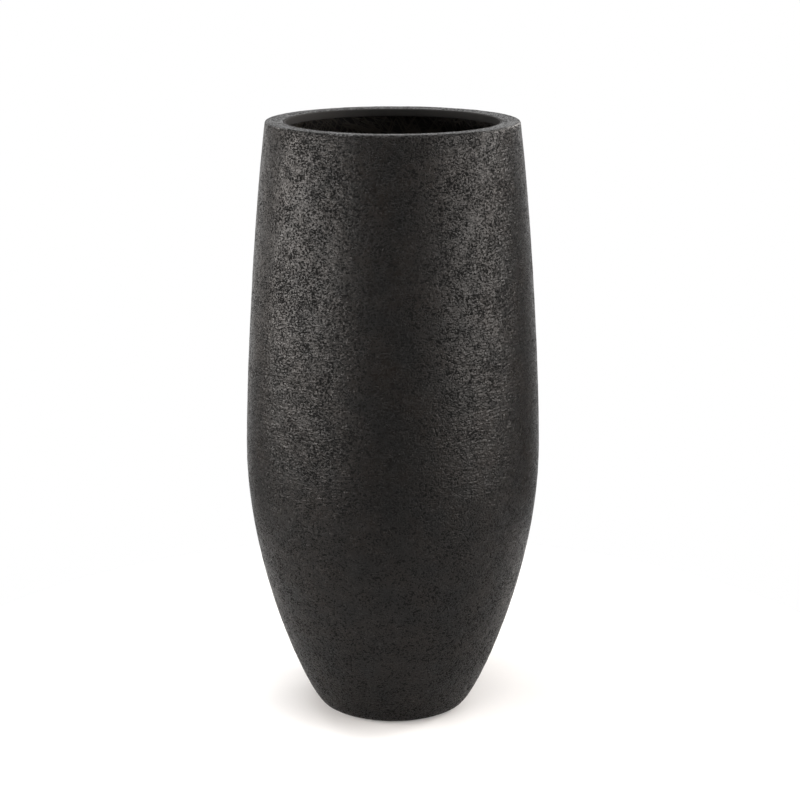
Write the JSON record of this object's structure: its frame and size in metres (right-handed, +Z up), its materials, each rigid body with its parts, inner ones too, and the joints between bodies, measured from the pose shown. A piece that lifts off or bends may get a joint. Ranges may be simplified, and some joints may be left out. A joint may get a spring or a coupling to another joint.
{
  "type": "tall fiberglass planter",
  "caption": "Tall dark jar-shaped floor planter of moulded fiberglass with a turned-in flat rim, smooth inner return, closed floor with a plugged drain, and low rubber pads.",
  "frame": {"origin": "on the ground, on the planter's axis, below the drain", "axes": "+Z up along the planter's axis towards the mouth; +X and +Y level, through the foot pads"},
  "size_m": [0.443, 0.443, 0.9],
  "materials": {
    "textured_laminate": "glass-fibre laminate with a sanded, pitted, leathery charcoal-brown skin of stone grit and resin, satin sheen",
    "smooth_gelcoat": "smooth satin dark grey gelcoat",
    "coated_board": "reinforcing board coated with brushed dark resin",
    "raw_laminate": "hand-laid dark laminate with fibre print",
    "bush_plastic": "moulded black drain bush",
    "plug_rubber": "moulded black rubber",
    "pad_rubber": "cut black rubber sheet"
  },
  "bodies": {
    "planter": {"body_shell": "textured_laminate", "rim_return": "smooth_gelcoat", "floor_board": "coated_board", "floor_coving": "raw_laminate", "drain_bush": "bush_plastic", "foot_pad_1": "pad_rubber", "foot_pad_2": "pad_rubber", "foot_pad_3": "pad_rubber", "foot_pad_4": "pad_rubber"},
    "plug": {"drain_plug": "plug_rubber"}
  },
  "joints": [
    {"name": "drain_plug_lift", "type": "slide", "parent": "planter", "child": "plug", "axis": [0, 0, 1], "range_m": [0, 0.95]}
  ]
}
